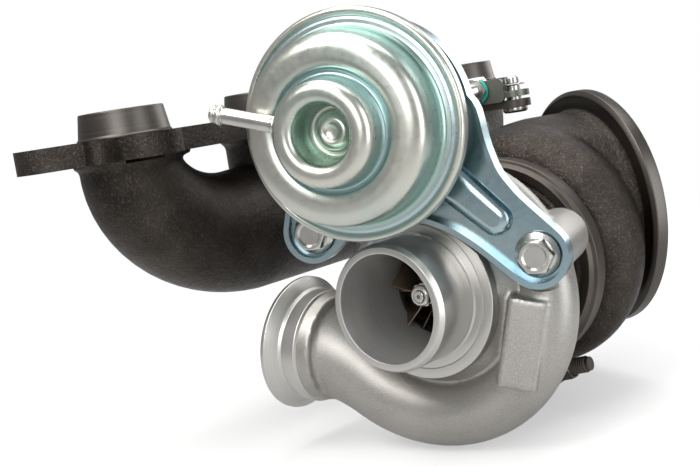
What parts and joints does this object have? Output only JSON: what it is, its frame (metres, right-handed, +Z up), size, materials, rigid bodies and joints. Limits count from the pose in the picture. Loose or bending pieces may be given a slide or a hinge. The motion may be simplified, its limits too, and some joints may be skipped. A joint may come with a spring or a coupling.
{
  "type": "turbocharger",
  "caption": "Turbocharger: turbine housing and exhaust manifold in one iron casting, aluminium compressor cover, and a pneumatic actuator that opens the wastegate through a rod and lever.",
  "frame": {"origin": "centre of the compressor's inlet mouth, on the shaft axis", "axes": "+Y along the shaft from the inlet to the turbine, +Z up towards the cylinder head's flange face, +X to the right seen from the inlet"},
  "size_m": [0.1868, 0.305, 0.1488],
  "materials": {
    "cast_aluminium": "fine cast grain with machined faces",
    "wheel_aluminium": "machined, brown with use",
    "cast_iron": "rough casting with machined faces",
    "core_iron": "rough casting",
    "zinc_can": "satin zinc with a warm and cool tint",
    "zinc_bracket": "blue zinc",
    "bright_steel": "bright zinc",
    "spring_steel": "plain steel",
    "dark_steel": "heat-darkened steel",
    "turbine_alloy": "cast nickel alloy",
    "bronze": "turned",
    "black_rubber": "matt"
  },
  "bodies": {
    "housing": {"compressor_cover": "cast_aluminium", "cover_o_ring": "black_rubber", "cover_snap_ring": "spring_steel", "back_plate": "cast_aluminium", "back_plate_screws": "bright_steel", "bearing_housing": "core_iron", "thrust_bearing": "bronze", "compressor_seal_ring": "spring_steel", "turbine_seal_ring": "spring_steel", "bearing_snap_rings": "spring_steel", "heat_shield": "dark_steel", "v_clamp": "dark_steel", "v_clamp_bolt": "dark_steel", "v_clamp_nut": "bright_steel", "turbine_housing": "cast_iron", "wastegate_bush": "dark_steel", "actuator_cover": "zinc_can", "actuator_base": "zinc_can", "diaphragm": "black_rubber", "return_spring": "spring_steel", "rod_guide": "bronze", "hose_nipple": "bright_steel", "actuator_bracket": "zinc_bracket", "bracket_bolts": "bright_steel", "actuator_nuts": "bright_steel"},
    "rotor": {"compressor_wheel": "wheel_aluminium", "shaft_nut": "bright_steel", "oil_deflector": "spring_steel", "thrust_collar": "spring_steel", "turbine_shaft": "turbine_alloy"},
    "front_bearing": {"front_journal_bearing": "bronze"},
    "rear_bearing": {"rear_journal_bearing": "bronze"},
    "wastegate": {"wastegate_spindle": "dark_steel", "wastegate_lever": "dark_steel", "lever_pin": "bright_steel", "pin_clip": "spring_steel"},
    "flap": {"wastegate_flap": "dark_steel", "flap_washer": "dark_steel"},
    "rod": {"actuator_rod": "bright_steel", "piston_cup": "bright_steel", "rod_end": "spring_steel", "rod_nuts": "bright_steel"}
  },
  "joints": [
    {"name": "rotor_spin", "type": "hinge", "parent": "housing", "child": "rotor", "pos_m": [0, 0.06, 0], "axis": [0, 1, 0], "continuous": true},
    {"name": "front_bearing_spin", "type": "hinge", "parent": "housing", "child": "front_bearing", "pos_m": [0, 0.06075, 0], "axis": [0, 1, 0], "continuous": true},
    {"name": "rear_bearing_spin", "type": "hinge", "parent": "housing", "child": "rear_bearing", "pos_m": [0, 0.07025, 0], "axis": [0, 1, 0], "continuous": true},
    {"name": "rod_slide", "type": "slide", "parent": "housing", "child": "rod", "axis": [-0.2472, 0.9685, 0.03], "range_m": [0, 0.01258], "stiffness_N_per_m": 3000, "deforming": ["return_spring", "diaphragm"]},
    {"name": "wastegate_swing", "type": "hinge", "parent": "housing", "child": "wastegate", "pos_m": [-0.0435, 0.1293, 0.04], "axis": [0, 0, 1], "range_deg": [0, 28.1]},
    {"name": "flap_spin", "type": "hinge", "parent": "wastegate", "child": "flap", "pos_m": [-0.0295, 0.1233, 0.02], "axis": [0, 1, 0], "continuous": true}
  ],
  "couplings": [
    {"joint": "wastegate_swing", "follows": "rod_slide", "rad_per_m": 38.847}
  ]
}
